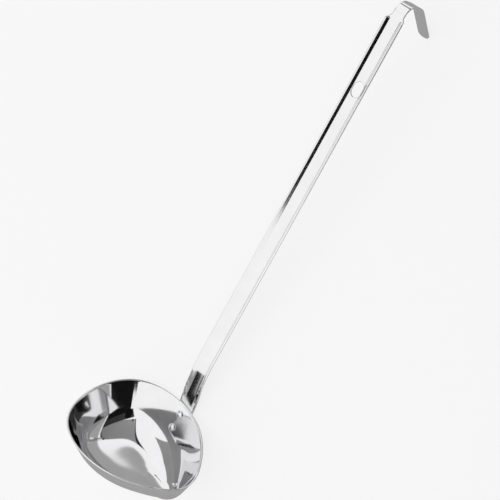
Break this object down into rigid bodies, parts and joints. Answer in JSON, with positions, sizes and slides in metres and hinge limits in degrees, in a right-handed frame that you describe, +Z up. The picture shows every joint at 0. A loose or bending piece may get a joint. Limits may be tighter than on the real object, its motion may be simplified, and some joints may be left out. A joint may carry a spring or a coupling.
{
  "type": "side-spout ladle",
  "caption": "Ladle with an egg-shaped steel bowl and a pouring lip on its left, riveted to a long channelled handle with a hanging slot and a bent hook.",
  "frame": {"origin": "on the ground, under the middle of the ladle's box, with the ladle lying on its hook and its bowl", "axes": "+X along the handle from the hook to the bowl, +Y to the side of the pouring lip, +Z up"},
  "size_m": [0.3016, 0.0818, 0.0646],
  "materials": {
    "bowl_steel": "polished stainless steel",
    "handle_steel": "polished stainless steel with fine lengthwise lines",
    "rivet_steel": "polished stainless steel"
  },
  "bodies": {
    "root": {"bowl": "bowl_steel", "handle": "handle_steel", "rivets": "rivet_steel"}
  },
  "joints": []
}
